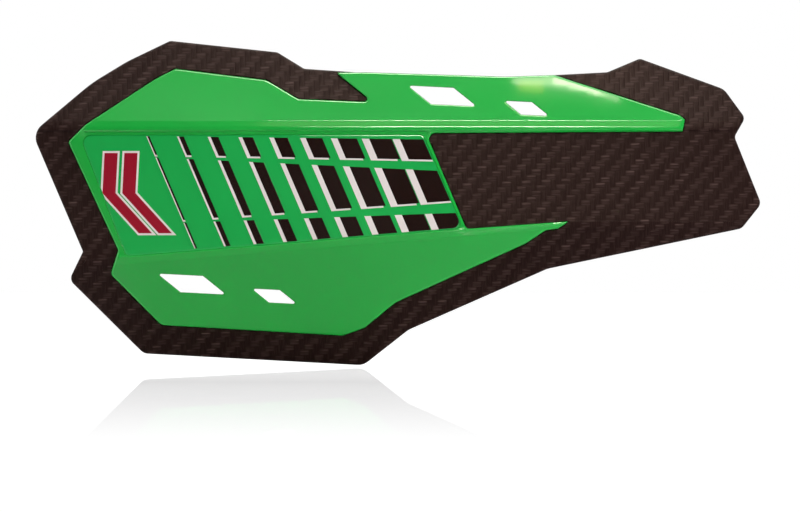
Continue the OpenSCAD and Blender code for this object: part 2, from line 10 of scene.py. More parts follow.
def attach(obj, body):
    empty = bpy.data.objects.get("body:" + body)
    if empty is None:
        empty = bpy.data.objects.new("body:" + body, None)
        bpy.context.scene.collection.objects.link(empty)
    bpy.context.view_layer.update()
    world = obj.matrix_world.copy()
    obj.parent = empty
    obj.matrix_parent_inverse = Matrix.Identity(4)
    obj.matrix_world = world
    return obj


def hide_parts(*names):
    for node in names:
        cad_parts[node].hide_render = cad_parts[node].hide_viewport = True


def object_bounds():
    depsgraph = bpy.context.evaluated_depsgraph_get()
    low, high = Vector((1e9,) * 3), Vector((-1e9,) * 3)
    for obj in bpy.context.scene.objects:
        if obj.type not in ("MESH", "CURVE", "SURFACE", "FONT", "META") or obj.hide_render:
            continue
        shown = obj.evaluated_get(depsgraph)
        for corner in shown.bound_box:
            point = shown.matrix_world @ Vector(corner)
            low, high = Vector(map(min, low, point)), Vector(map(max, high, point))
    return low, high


# Motorcycle hand guard. The shield's outlines are in millimetres, x to the right and z up as seen
# from the front, with y behind the front. What goes into Blender is in metres.

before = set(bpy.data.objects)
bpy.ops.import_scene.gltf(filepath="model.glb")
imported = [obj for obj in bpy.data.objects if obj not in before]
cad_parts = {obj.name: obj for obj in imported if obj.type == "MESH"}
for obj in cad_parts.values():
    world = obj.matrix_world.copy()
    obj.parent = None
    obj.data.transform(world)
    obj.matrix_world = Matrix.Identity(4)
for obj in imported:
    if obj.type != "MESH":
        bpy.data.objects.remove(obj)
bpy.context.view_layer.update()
mm = 0.001


# The shield's form

shield = {
    "origin": (-90.0, -95.0, -11.0),    # the outlines' zero, from the bar's middle
    "bendRadius": 350.0,
    "bendShift": 30.0,
    "upperLean": 38.0,
    "lowerLean": 30.0,
    "bevelWidth": 2.3,
    "bevelFillet": 2.8,
    "panelSink": 0.5,
    "stepStrip": 1.0,
    "upperFold": 26.2,
    "foldLeft": (-103.0, -21.0),
    "foldKink": (57.6, -7.8),
    "shellWall": 2.6,
    "coverWall": 1.9,
    "coverProud": 1.0,
    "coverGap": 0.2,
    "filmThick": 0.25,
    "inkThick": 0.12,
    "wingReach": 62.0,                  # how far the sections and fold lines run on
    "panelFoot": -90.0,
    "foldEnds": (-150.0, 150.0),
}

# x, z and corner radius of each corner
shellCorners = [
    (-83.2, 57.7, 2.5), (-44.3, 53.4, 3), (-34.6, 47.4, 2), (-12, 45.8, 20),
    (38, 44.1, 60), (74.8, 46.1, 3), (86.6, 51.1, 2.5), (117, 40, 6),
    (124.5, 29.6, 2.5), (120.6, 22.8, 2.5), (130.3, -1.4, 3),
    (123.2, -10.3, 3.5), (53.2, -24.8, 10), (3, -46.9, 10), (-13.2, -59.7, 6),
    (-92.8, -55.5, 4), (-119.6, -28.8, 3), (-114.6, -18.6, 1),
    (-133.1, 24.3, 6), (-111.6, 42.4, 50), (-98.8, 50.2, 50),
]
coverCorners = [
    (-81.2, 47.5, 1.5), (-48.2, 43.3, 6), (-36.6, 36.4, 2), (-9.9, 35.3, 1),
    (-23.2, 46, 0.4), (-12, 46.1, 20), (38, 44.5, 60), (55.6, 45.1, 1),
    (100.6, 30.6, 1.2), (102.7, 29, 0.6), (101.8, 24.6, 0.5),
    (9.4, 24, 2.2), (23.9, -10.4, 1.8), (61, -7.7, 0.2),
    (56.8, -10.4, 1.2), (52.4, -11, 2), (45.2, -15.8, 6), (-1.6, -37, 10),
    (-12.8, -46.2, 5), (-20.6, -49, 5), (-86.4, -45.2, 3.5),
    (-104.6, -26.8, 2), (-101.8, -18.2, 1.5), (-120, 21, 1.5),
    (-113.8, 27.2, 2), (-88.2, 44, 50),
]
vents = {
    "large": [(2.9, 41.2), (-87.5, -26.6)],
    "largeSize": (16.4, 6.2),
    "small": [(37.5, 35.7), (-53.4, -32.0)],
    "smallSize": (10.0, 4.6),
    "turn": -2.9,
    "lean": 1.38,
    "corner": 0.4,
    "shellMargin": 0.6,
}
filmShape = {
    "top": 23.4,
    "topEnds": (-115.8, 8.2),
    "footEnds": (-98.8, 22.7),
    "foldGap": 0.45,
    "corners": (3.0, 2.4, 2.4, 2.0),
}
# screws through the shell into the cover, and the two bosses the arm is bolted to
fixings = {
    "screws": [(-78, 37.5), (-4, 37.5), (70, 33.5), (-113, 14), (-96, -29.5), (-26, -37), (26, -18)],
    "screwRadius": 1.75,
    "screwDepth": 5.0,
    "threadGap": 0.05,
    "coverBossRadius": 3.0,
    "clearance": 0.2,
    "seatDepth": 7.0,
    "seatFloor": 1.6,
    "padWall": 2.0,
    "bosses": [(20.0, 11.0), (76.0, 11.0)],
    "bossEnd": 20.0,
    "bossRadius": 7.75,
    "insertRadius": 4.2,
    "insertDepth": 9.0,
    "boltBore": 3.25,
    "boltDepth": 11.0,
    "postEdge": 0.4,
    "boreEdge": 0.3,
    "ribTop": 14.0,
    "ribFoot": 9.0,
    "ribOut": 19.0,
    "ribSlope": 9.0,
    "ribPair": 5.0,
    "ribHalf": 1.0,
    "ribEdge": 0.5,
}
meshing = {
    "edgeStep": 2.0,
    "ventStep": 1.5,
    "inkStep": 2.5,
    "plateSpacing": 2.6,
    "filmSpacing": 3.0,
    "keepOff": 0.55,                    # share of the spacing kept free beside lines
    "inkKeepOff": 0.45,
    "lineMargin": 0.25,
    "edgeRings": (0.0, 0.13, 0.5, 1.0),  # shares of an edge's radius that get points
    "stepWidth": 0.15,
    "sharpAngle": 35.0,
}


def inFrame(x, y, z):
    # a point of the outlines in the shared frame
    ox, oy, oz = shield["origin"]
    return ((x + ox) * mm, (y + oy) * mm, (z + oz) * mm)


def placed(name, data):
    item = bpy.data.objects.new(name, data)
    bpy.context.scene.collection.objects.link(item)
    return item


def unit(v):
    return v / np.linalg.norm(v)


def filletCorner(a, b, c, radius, steps):
    # the arc that rounds corner b between a and c
    toA, toC = unit(a - b), unit(c - b)
    half = math.acos(max(-1.0, min(1.0, float(toA @ toC)))) / 2
    if radius <= 0 or half > math.radians(89.9):
        return [b]
    reach = min(radius / math.tan(half), 0.48 * np.linalg.norm(a - b), 0.48 * np.linalg.norm(c - b))
    r = reach * math.tan(half)
    centre = b + unit(toA + toC) * r / math.sin(half)
    start, end = b + toA * reach - centre, b + toC * reach - centre
    turn = math.atan2(start[0] * end[1] - start[1] * end[0], float(start @ end))
    first = math.atan2(start[1], start[0])
    return [centre + r * np.array([math.cos(first + turn * k / steps), math.sin(first + turn * k / steps)])
            for k in range(steps + 1)]


def roundedOutline(corners, steps=8):
    pts = [np.array(c[:2], float) for c in corners]
    out = []
    for k, corner in enumerate(corners):
        out += filletCorner(pts[k - 1], pts[k], pts[(k + 1) % len(pts)], corner[2], steps)
    return np.array(out)


def densify(pts, gap):
    # closed outline with no two points further apart than gap
    out = []
    for a, b in zip(pts, np.roll(pts, -1, axis=0)):
        n = max(1, int(math.ceil(np.linalg.norm(b - a) / gap)))
        out += [a + (b - a) * k / n for k in range(n)]
    return np.array(out)


def thinned(pts, gap=0.08):
    keep = [pts[0]]
    for p in pts[1:]:
        if np.linalg.norm(p - keep[-1]) > gap:
            keep.append(p)
    if np.linalg.norm(keep[0] - keep[-1]) < gap:
        keep.pop()
    return np.array(keep)


def signedArea(pts):
    x, z = pts[:, 0], pts[:, 1]
    return 0.5 * float(np.sum(x * np.roll(z, -1) - np.roll(x, -1) * z))


def moved(pts, inward):
    # each point moved along its own normal, inwards for a positive distance
    ahead = np.roll(pts, -1, axis=0) - pts
    back = pts - np.roll(pts, 1, axis=0)
    ahead /= np.linalg.norm(ahead, axis=1)[:, None]
    back /= np.linalg.norm(back, axis=1)[:, None]
    tangent = ahead + back
    tangent /= np.linalg.norm(tangent, axis=1)[:, None]
    normal = np.stack([-tangent[:, 1], tangent[:, 0]], axis=1)
    if signedArea(pts) < 0:
        normal = -normal
    stretch = 1 / np.clip(np.sum(tangent * ahead, axis=1), 0.5, 1)
    return pts + normal * (inward * stretch)[:, None]


def edgeDistance(points, outline):
    # distance to a closed outline, positive inside it
    best = np.full(len(points), 1e9)
    inside = np.zeros(len(points), bool)
    for p, q in zip(outline, np.roll(outline, -1, axis=0)):
        d = q - p
        t = np.clip(((points - p) @ d) / max(float(d @ d), 1e-12), 0, 1)
        best = np.minimum(best, np.linalg.norm(points - (p + t[:, None] * d), axis=1))
        if p[1] != q[1]:
            crosses = (p[1] > points[:, 1]) != (q[1] > points[:, 1])
            at = p[0] + (points[:, 1] - p[1]) * (q[0] - p[0]) / (q[1] - p[1])
            inside ^= crosses & (points[:, 0] < at)
    return np.where(inside, best, -best)


foldSlope = math.atan2(shield["foldKink"][1] - shield["foldLeft"][1],
                       shield["foldKink"][0] - shield["foldLeft"][0])


def lowerFold(x):
    kinkX, kinkZ = shield["foldKink"]
    return np.where(x > kinkX, kinkZ, kinkZ + (x - kinkX) * math.tan(foldSlope))


def wingLine(behind, leanDegrees):
    # section of a wing from its fold outwards, so far behind the front
    lean = math.radians(leanDegrees)
    width = shield["bevelWidth"]
    flat, mid, wing = (np.array([math.cos(a), math.sin(a)]) for a in (0, lean / 2, lean))
    fold2 = width * np.array([-math.sin(lean / 2), math.cos(lean / 2)])
    p1 = -behind * (flat + mid) / (1 + flat @ mid)
    p2 = fold2 - behind * (mid + wing) / (1 + mid @ wing)
    tip = fold2 + shield["wingReach"] * np.array([-math.sin(lean), math.cos(lean)]) - behind * wing
    foot = np.array([-behind, -shield["stepStrip"]])
    r = max(shield["bevelFillet"] - behind, 0)
    return np.array([foot] + filletCorner(foot, p1, p2, r, 10) + filletCorner(p1, p2, tip, r, 10) + [tip])


def levelDepth(x, z, behind):
    # y of the surface that lies one distance behind the shield's front
    sink, strip = shield["panelSink"], shield["stepStrip"]
    radius, shift = shield["bendRadius"], shield["bendShift"]
    upper = wingLine(behind, shield["upperLean"])
    upper[:, 1] += shield["upperFold"]
    panel = [[-behind - sink, shield["panelFoot"]], [-behind - sink, shield["upperFold"] - strip - sink]]
    upper = np.vstack([panel, upper])
    lower = wingLine(behind, shield["lowerLean"])
    fold = lowerFold(x)
    # the step from the sunk panel to the lower wing is a short slope
    rise = np.clip(1 - (z - fold) / sink, 0, 1)
    p = np.interp(z, upper[:, 1], upper[:, 0]) + sink * rise
    y = radius - np.sqrt((radius + p) ** 2 - (x - shift) ** 2)
    # the lower wing bends along the slanted fold up to the kink, and level beyond it
    slantRadius = radius / math.cos(foldSlope) ** 2
    dx, dz = x - shift, z - float(lowerFold(np.array(shift)))
    alongFold = dx * math.cos(foldSlope) + dz * math.sin(foldSlope)
    h = dx * math.sin(foldSlope) - dz * math.cos(foldSlope)
    pSlant = np.interp(h, lower[:, 1], lower[:, 0])
    ySlant = slantRadius - np.sqrt((slantRadius + pSlant) ** 2 - alongFold ** 2)
    pLevel = np.interp(fold - z, lower[:, 1], lower[:, 0])
    yLevel = radius - np.sqrt((radius + pLevel) ** 2 - (x - shift) ** 2)
    return np.where(z < fold, np.where(x <= shield["foldKink"][0], ySlant, yLevel), y)


def frontDepth(points, behind):
    # y of the surface that lies behind the shield's front by the given distances
    x, z = points[:, 0], points[:, 1]
    behind = np.broadcast_to(np.asarray(behind, float), x.shape)
    y = np.zeros(len(x))
    for level in np.unique(np.round(behind, 3)):
        pick = np.abs(behind - level) < 6e-4
        y[pick] = levelDepth(x[pick], z[pick], float(level))
    return y


def rounding(distance, radius):
    # how far a rounded edge has dropped at this distance in from it
    t = np.clip(radius - distance, 0, radius)
    return radius - np.sqrt(np.maximum(radius ** 2 - t ** 2, 0))


def creaseLines():
    # lines along the folds, close together where the surface turns
    start, end = shield["foldEnds"]
    top, strip, sink = shield["upperFold"], shield["stepStrip"], shield["panelSink"]
    section = wingLine(0, shield["upperLean"])
    lines = [[(start, top + h), (end, top + h)] for h in [-strip - sink, -strip] + list(section[1:-1:2, 1])]
    section = wingLine(0, shield["lowerLean"])
    kinkX, kinkZ = shield["foldKink"]
    startZ = float(lowerFold(np.array(start)))
    for h in [-sink, 0.0] + list(section[2:-1:2, 1]):
        drop = h / math.cos(foldSlope)
        lines.append([(start, startZ - drop), (kinkX, kinkZ - drop), (end, kinkZ - h)])
    return lines


def clippedLine(line, inside, gap):
    # the stretches of a line where inside(points) holds, as runs of points
    pts = []
    for a, b in zip(line, line[1:]):
        a, b = np.array(a), np.array(b)
        n = max(2, int(np.linalg.norm(b - a) / gap))
        pts += [a + (b - a) * k / n for k in range(n)]
    pts = np.array(pts + [np.array(line[-1])])
    runs = [[]]
    for p, good in zip(pts, inside(pts)):
        if good:
            runs[-1].append(p)
        elif runs[-1]:
            runs.append([])
    return [r for r in runs if len(r) > 1]


def triangulate(outer, holes, rings, stepLoops, spacing, keepOff):
    # flat triangulation of a plate: rings are insets that follow its edges, stepLoops are other
    # closed lines on it, and more lines follow its folds
    pts, edges = [], []

    def addLoop(loop):
        base = len(pts)
        pts.extend(loop)
        edges.extend((base + k, base + (k + 1) % len(loop)) for k in range(len(loop)))

    def inside(p, margin):
        ok = edgeDistance(p, outer) > margin
        for h in holes:
            ok &= edgeDistance(p, h) < -margin
        return ok

    for loop, inward in [(outer, 1)] + [(h, -1) for h in holes]:
        for inset in rings:
            addLoop(loop if inset == 0 else moved(loop, inward * inset))
    for loop in stepLoops:
        addLoop(loop)
    deepest = max(rings)
    for line in creaseLines():
        for run in clippedLine(line, lambda p: inside(p, deepest + meshing["lineMargin"]), spacing):
            base = len(pts)
            pts.extend(run)
            edges.extend((base + k, base + k + 1) for k in range(len(run) - 1))
    low, high = outer.min(axis=0), outer.max(axis=0)
    rowGap = spacing * 0.866
    rows = int((high[1] - low[1]) / rowGap) + 1
    cols = int((high[0] - low[0]) / spacing) + 2
    grid = np.array([(low[0] + (c + 0.5 * (r % 2)) * spacing, low[1] + r * rowGap)
                     for r in range(rows) for c in range(cols)])
    grid = grid[inside(grid, deepest + keepOff * spacing)]
    if len(grid):
        taken = np.array(pts)
        clear = np.ones(len(grid), bool)
        for k in range(0, len(grid), 500):
            part = slice(k, k + 500)
            gap = np.linalg.norm(grid[part, None] - taken[None], axis=2).min(axis=1)
            clear[part] = gap > keepOff * spacing
        pts.extend(grid[clear])
    flat, _, faces, _, _, _ = delaunay_2d_cdt([Vector(p) for p in pts], edges, [], 0, 1e-5)
    flat = np.array([tuple(p) for p in flat])
    tris = np.array([f for f in faces if len(f) == 3])
    middle = flat[tris].mean(axis=1)
    return flat, tris[inside(middle, 0.0)]


def plateMesh(name, flat, tris, yFront, yBack):
    # closed plate between two surfaces over one flat triangulation
    used = np.unique(tris)
    index = np.full(len(flat), -1)
    index[used] = np.arange(len(used))
    flat, yFront, yBack, tris = flat[used], yFront[used], yBack[used], index[tris]
    a, b, c = flat[tris[:, 0]], flat[tris[:, 1]], flat[tris[:, 2]]
    area = (b[:, 0] - a[:, 0]) * (c[:, 1] - a[:, 1]) - (b[:, 1] - a[:, 1]) * (c[:, 0] - a[:, 0])
    real = np.abs(area) > 1e-7
    tris, area = tris[real], area[real]
    tris[area < 0] = tris[area < 0][:, ::-1]
    n = len(flat)
    verts = [inFrame(p[0], y, p[1]) for depths in (yFront, yBack) for p, y in zip(flat, depths)]
    faces = [tuple(int(i) for i in t) for t in tris]
    faces += [tuple(int(i) + n for i in t[::-1]) for t in tris]
    # the edges that only one triangle has get the plate's side walls
    edges = dict.fromkeys((int(t[k]), int(t[(k + 1) % 3])) for t in tris for k in range(3))
    for i, j in edges:
        if (j, i) not in edges:
            faces.append((j, i, i + n, j + n))
    mesh = bpy.data.meshes.new(name)
    mesh.from_pydata(verts, [], faces)
    mesh.validate()
    return mesh


def frontAt(p, behind=0.0):
    return float(frontDepth(np.array([p], float), behind)[0])


def solidThrough(rings):
    # closed solid through rings of equal counts, each end closed round its middle
    n, last = len(rings[0]), len(rings) - 1
    verts = [tuple(p) for ring in rings for p in ring]
    faces = [(r * n + k, r * n + (k + 1) % n, (r + 1) * n + (k + 1) % n, (r + 1) * n + k)
             for r in range(last) for k in range(n)]
    for r in (0, last):
        verts.append(tuple(np.mean(rings[r], axis=0)))
        faces += [(r * n + k, r * n + (k + 1) % n, len(verts) - 1) for k in range(n)]
    return verts, faces


def circle(at, radius, sides):
    turn = np.arange(sides) * 2 * math.pi / sides
    return np.stack([at[0] + radius * np.cos(turn), at[1] + radius * np.sin(turn)], axis=1)


def lifted(flat, y):
    return np.stack([flat[:, 0], np.broadcast_to(y, len(flat)), flat[:, 1]], axis=1)


def post(at, radius, end, root, bore=0.0, boreDepth=0.0, sides=48):
    # round post from inside the wall to its end, with a blind hole in the end
    edge, boreEdge = fixings["postEdge"], fixings["boreEdge"]
    foot = circle(at, radius, sides)
    rings = [lifted(foot, frontDepth(foot, root)), lifted(foot, end - edge)]
    for degrees in (30, 60, 90):
        turn = math.radians(degrees)
        rim = circle(at, radius - edge * (1 - math.cos(turn)), sides)
        rings.append(lifted(rim, end - edge + edge * math.sin(turn)))
    if bore:
        for r, y in ((bore + boreEdge, end), (bore, end - boreEdge), (bore, end - boreDepth)):
            rings.append(lifted(circle(at, r, sides), y))
    return solidThrough(rings)


def steppedRod(at, steps, sides=48):
    # round rod whose radius changes along its length, as (y, radius) pairs
    return solidThrough([lifted(circle(at, radius, sides), y) for y, radius in steps])


def rib(points, tops, across, root):
    # thin wall standing on the shield along a line of points
    half, edge = fixings["ribHalf"], fixings["ribEdge"]
    cut = 0.3 * edge
    profile = [(-half, None), (-half, -edge), (-half + cut, -cut), (-half + edge, 0.0),
               (half - edge, 0.0), (half - cut, -cut), (half, -edge), (half, None)]
    rings = []
    for p, top in zip(points, tops):
        ring = []
        for side, drop in profile:
            q = (p[0] + across[0] * side, p[1] + across[1] * side)
            ring.append((q[0], frontAt(q, root) if drop is None else top + drop, q[1]))
        rings.append(ring)
    return solidThrough(rings)


def solidsMesh(name, solids):
    # closed solids in one mesh
    bm = bmesh.new()
    for verts, faces in solids:
        made = [bm.verts.new(inFrame(*v)) for v in verts]
        for face in faces:
            bm.faces.new([made[i] for i in face])
    bmesh.ops.recalc_face_normals(bm, faces=bm.faces)
    mesh = bpy.data.meshes.new(name)
    bm.to_mesh(mesh)
    bm.free()
    return mesh


def combined(mesh, tool, operation):
    # the mesh joined with another, or cut by it
    holders = [placed("work", m) for m in (mesh, tool)]
    step = holders[0].modifiers.new("combine", "BOOLEAN")
    step.operation = operation
    step.object = holders[1]
    step.solver = "EXACT"
    step.use_self = True
    graph = bpy.context.evaluated_depsgraph_get()
    result = bpy.data.meshes.new_from_object(holders[0].evaluated_get(graph))
    for holder in holders:
        bpy.data.objects.remove(holder)
    return result


def newPiece(name, mesh, replaced, material):
    # a piece of the guard in place of the nodes it replaces
    mesh.materials.append(material)
    piece = placed(name, mesh)
    mesh.shade_smooth()
    mesh.set_sharp_from_angle(angle=math.radians(meshing["sharpAngle"]))
    weighted = piece.modifiers.new("evenNormals", "WEIGHTED_NORMAL")
    weighted.keep_sharp = True
    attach(piece, "root")
    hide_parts(*replaced)
    return piece


def ventOutline(at, size, grow=0.0):
    length, height = size
    run = vents["lean"] * height
    turn = math.radians(vents["turn"])
    raw = [(0, 0), (length, 0), (length + run, -height), (run, -height)]
    corners = [(at[0] + x * math.cos(turn) - z * math.sin(turn),
                at[1] + x * math.sin(turn) + z * math.cos(turn), vents["corner"]) for x, z in raw]
    outline = thinned(roundedOutline(corners, 5))
    return moved(outline, -grow) if grow else outline


def ventOutlines(grow=0.0):
    return [ventOutline(p, vents[kind + "Size"], grow) for kind in ("large", "small") for p in vents[kind]]


def filmOutline(grow=0.0):
    left, right = filmShape["topEnds"]
    footLeft, footRight = filmShape["footEnds"]
    places = [(x, filmShape["top"] + grow) for x in (left - grow, right + grow)]
    places += [(x, float(lowerFold(np.array(x))) + filmShape["foldGap"] - grow)
               for x in (footRight + grow, footLeft - grow)]
    return thinned(roundedOutline([(x, z, r) for (x, z), r in zip(places, filmShape["corners"])]))


shellOutline = thinned(roundedOutline(shellCorners))
coverOutline = thinned(roundedOutline(coverCorners))


# Node helpers for the materials

class Tree:
    # short calls for adding linked shader nodes
    def __init__(self, tree):
        self.tree = tree

    def add(self, kind, inputs=None, **settings):
        node = self.tree.nodes.new(kind)
        for key, value in settings.items():
            setattr(node, key, value)
        for key, value in (inputs or {}).items():
            self.put(node.inputs[key], value)
        return node

    def put(self, socket, value):
        if isinstance(value, bpy.types.NodeSocket):
            self.tree.links.new(value, socket)
        else:
            socket.default_value = value

    def math(self, operation, *values, clamp=False):
        inputs = dict(enumerate(values))
        return self.add("ShaderNodeMath", inputs, operation=operation, use_clamp=clamp).outputs[0]

    def mix(self, factor, a, b):
        return self.add("ShaderNodeMix", {"Factor": factor, 6: a, 7: b}, data_type="RGBA").outputs[2]

    def blendValue(self, factor, a, b):
        return self.add("ShaderNodeMix", {"Factor": factor, 2: a, 3: b}).outputs[0]

    def smooth(self, value, low, high):
        return self.add("ShaderNodeMapRange", {"Value": value, "From Min": low, "From Max": high},
                        interpolation_type="SMOOTHSTEP").outputs["Result"]

    def noise(self, vector, scale, detail):
        inputs = {"Vector": vector, "Scale": scale, "Detail": detail}
        return self.add("ShaderNodeTexNoise", inputs).outputs["Fac"]

    def place(self):
        return self.add("ShaderNodeTexCoord").outputs["Object"]


def newGroup(name, inputs, outputs):
    group = bpy.data.node_groups.new(name, "ShaderNodeTree")
    for label, kind, default in inputs:
        socket = group.interface.new_socket(label, in_out="INPUT", socket_type=kind)
        if default is not None:
            socket.default_value = default
    for label, kind in outputs:
        group.interface.new_socket(label, in_out="OUTPUT", socket_type=kind)
    return group, group.nodes.new("NodeGroupInput"), group.nodes.new("NodeGroupOutput")


def newMaterial(name):
    material = bpy.data.materials.new(name)
    material.use_nodes = True
    nodes = material.node_tree.nodes
    nodes.clear()
    tree = Tree(material.node_tree)
    shader = tree.add("ShaderNodeBsdfPrincipled")
    tree.add("ShaderNodeOutputMaterial", {"Surface": shader.outputs[0]})
    return material, tree, shader


twillLook = {
    "yarnEnds": 6.0,            # powers of the yarns' rounding: higher is flatter
    "yarnSides": 4.0,
    "fibreAlong": 220.0,
    "fibreAcross": 2800.0,
    "upperHighlight": (0.72, 0.17),  # middle and half width of the painted highlight lines on a weft yarn
    "lowerHighlight": (0.2, 0.16),
    "upperHighlightShare": (0.05, 0.6),
    "lowerHighlightShare": 0.1,
    "cloudScale": 90.0,
    "cloudShare": (0.5, 1.2),
    "body": 0.16,
    "bodyEnds": 5.0,
    "fibreShare": (0.3, 1.5),
    "warpShare": 0.11,
}


# Twill relief and painted sheen: two-over-two weave in the shield's front plane, its rows leaning a little
def buildTwill():
    look = twillLook
    # the Light output carries the weave's pattern together with its painted sheen and highlight lines
    group, source, sink = newGroup("twillReliefAndSheen", [
        ("Place", "NodeSocketVector", None), ("Across", "NodeSocketFloat", 0.0018),
        ("Up", "NodeSocketFloat", 0.002), ("Lean", "NodeSocketFloat", 0.0),
    ], [("Height", "NodeSocketFloat"), ("Light", "NodeSocketFloat"), ("Fibre", "NodeSocketFloat")])
    t = Tree(group)
    xyz = t.add("ShaderNodeSeparateXYZ", {"Vector": source.outputs["Place"]})
    raised = t.math("MULTIPLY", xyz.outputs["X"], source.outputs["Lean"])
    x = t.math("DIVIDE", xyz.outputs["X"], source.outputs["Across"])
    z = t.math("DIVIDE", t.math("SUBTRACT", xyz.outputs["Z"], raised), source.outputs["Up"])
    i, j = t.math("FLOOR", x), t.math("FLOOR", z)
    fx, fz = t.math("FRACT", x), t.math("FRACT", z)
    phase = t.math("FLOORED_MODULO", t.math("SUBTRACT", i, j), 4.0)
    weft = t.math("LESS_THAN", phase, 1.5)

    def dome(value, power):
        side = t.math("ABSOLUTE", t.math("SUBTRACT", t.math("MULTIPLY", value, 2.0), 1.0))
        return t.math("SUBTRACT", 1.0, t.math("POWER", side, power))

    def ridge(value, middle, width):
        off = t.math("ABSOLUTE", t.math("SUBTRACT", value, middle))
        return t.math("SUBTRACT", 1.0, t.math("DIVIDE", off, width), clamp=True)

    alongWeft = t.math("MULTIPLY", t.math("ADD", phase, fx), 0.5)
    alongWarp = t.math("MULTIPLY", t.math("ADD", t.math("SUBTRACT", 3.0, phase), fz), 0.5)
    weftHeight = t.math("MULTIPLY", dome(alongWeft, look["yarnEnds"]), dome(fz, look["yarnSides"]))
    warpHeight = t.math("MULTIPLY", dome(alongWarp, look["yarnEnds"]), dome(fx, look["yarnSides"]))
    t.put(sink.inputs["Height"], t.blendValue(weft, warpHeight, weftHeight))
    # fine lines along each yarn
    along, across = look["fibreAlong"], look["fibreAcross"]
    scaled = [t.add("ShaderNodeVectorMath", {0: source.outputs["Place"], 1: scale}, operation="MULTIPLY")
              for scale in ((across, along, along), (along, along, across))]
    fibre = t.blendValue(weft, *[t.noise(s.outputs[0], 1.0, 1.0) for s in scaled])
    t.put(sink.inputs["Fibre"], fibre)
    # one random number for each visible stretch of yarn
    stretch = t.math("FLOOR", t.math("DIVIDE", t.math("SUBTRACT", i, j), 4.0))
    seed = t.add("ShaderNodeCombineXYZ", {"X": stretch, "Y": t.blendValue(weft, i, j), "Z": weft}).outputs[0]
    chance = t.add("ShaderNodeTexWhiteNoise", {"Vector": seed}, noise_dimensions="3D").outputs["Value"]
    # a weft stretch is pale, with a painted highlight line along its upper side and a fainter one along its
    # lower side, and a warp stretch is dark: partly the weave's pattern, partly its painted sheen
    upper = t.math("MULTIPLY", ridge(fz, *look["upperHighlight"]), t.blendValue(chance, *look["upperHighlightShare"]))
    lower = t.math("MULTIPLY", ridge(fz, *look["lowerHighlight"]), look["lowerHighlightShare"])
    cloud = t.noise(source.outputs["Place"], look["cloudScale"], 2.0)
    paintedHighlights = t.math("MULTIPLY", t.math("ADD", upper, lower),
                     t.blendValue(t.smooth(cloud, 0.3, 0.7), *look["cloudShare"]))
    # the pale weft and its painted highlights darken towards each stretch's ends
    pale = t.math("MULTIPLY", t.math("ADD", paintedHighlights, look["body"]), dome(alongWeft, look["bodyEnds"]))
    pale = t.math("MULTIPLY", pale, t.blendValue(t.smooth(fibre, 0.3, 0.7), *look["fibreShare"]))
    dark = t.math("MULTIPLY", t.smooth(fibre, 0.4, 0.75), look["warpShare"])
    t.put(sink.inputs["Light"], t.blendValue(weft, dark, pale))
    return group


wearGrain = 2600.0


# Small uneven gloss, as on any handled surface, and a fine grain
def buildGlossWear():
    group, source, sink = newGroup("glossWear", [
        ("Place", "NodeSocketVector", None), ("Patch", "NodeSocketFloat", 30.0),
        ("Low", "NodeSocketFloat", 0.1), ("High", "NodeSocketFloat", 0.2),
    ], [("Roughness", "NodeSocketFloat"), ("Height", "NodeSocketFloat")])
    t = Tree(group)
    patches = t.smooth(t.noise(source.outputs["Place"], source.outputs["Patch"], 4.0), 0.35, 0.65)
    t.put(sink.inputs["Roughness"], t.blendValue(patches, source.outputs["Low"], source.outputs["High"]))
    t.put(sink.inputs["Height"], t.noise(source.outputs["Place"], wearGrain, 2.0))
    return group


twill = buildTwill()
glossWear = buildGlossWear()
print("node groups built")


# Finishes of everything but the shell

finishes = {
    "gloss": {"patch": 25.0, "cloud": 14.0, "detail": 2.0, "cloudFrom": 0.3, "shades": (0.93, 1.0),
              "metallic": 0.0, "edge": 0.0, "grain": 0.08, "grainDepth": 0.00003},
    "metal": {"patch": 300.0, "cloud": 180.0, "detail": 4.0, "cloudFrom": 0.3, "shades": (0.8, 1.0),
              "metallic": 1.0, "edge": 0.0003, "grain": 0.15, "grainDepth": 0.00005},
    "moulded": {"patch": 80.0, "cloud": 60.0, "detail": 3.0, "cloudFrom": 0.35, "shades": (1.0, 1.35),
                "metallic": 0.0, "edge": 0.0006, "grain": 0.5, "grainDepth": 0.00008},
}


def finishedMaterial(name, colour, roughness, finish):
    look = finishes[finish]
    material, t, shader = newMaterial(name)
    place = t.place()
    wear = t.add("ShaderNodeGroup", {"Place": place, "Patch": look["patch"], "Low": roughness[0],
                                     "High": roughness[1]}, node_tree=glossWear)
    t.put(shader.inputs["Roughness"], wear.outputs["Roughness"])
    cloud = t.smooth(t.noise(place, look["cloud"], look["detail"]), look["cloudFrom"], 0.7)
    shades = [tuple(c * shade for c in colour) + (1,) for shade in look["shades"]]
    t.put(shader.inputs["Base Color"], t.mix(cloud, *shades))
    shader.inputs["Metallic"].default_value = look["metallic"]
    bump = t.add("ShaderNodeBump", {"Height": wear.outputs["Height"], "Strength": look["grain"],
                                    "Distance": look["grainDepth"]})
    if look["edge"]:
        t.put(bump.inputs["Normal"], t.add("ShaderNodeBevel", {"Radius": look["edge"]}, samples=4).outputs[0])
    t.put(shader.inputs["Normal"], bump.outputs[0])
    return material


# Base shell

shellLook = {
    "edgeRadius": 0.9,
    "backRadius": 0.6,
    "lipWidth": 2.2,
    "lipHeight": 1.8,
    "lipRise": 0.6,
    "seatRound": 0.25,
    "postRoot": 1.6,
    "darkYarn": (0.0150, 0.0066, 0.0058, 1),
    # the pale yarn colour, where the weave's painted sheen and highlight lines are brightest
    "sheenYarn": (0.095, 0.058, 0.053, 1),
    "warpPitch": 0.00178,
    "weftPitch": 0.00198,
    "weftLean": 0.045,
    "relief": 0.00013,
    "reliefStrength": 0.7,
    "fibreRelief": 0.25,
    "roughness": (0.42, 0.52),
    "wearPatch": 60.0,
    "gloss": 0.045,
    "glossTint": (1.0, 0.75, 0.7, 1),
}


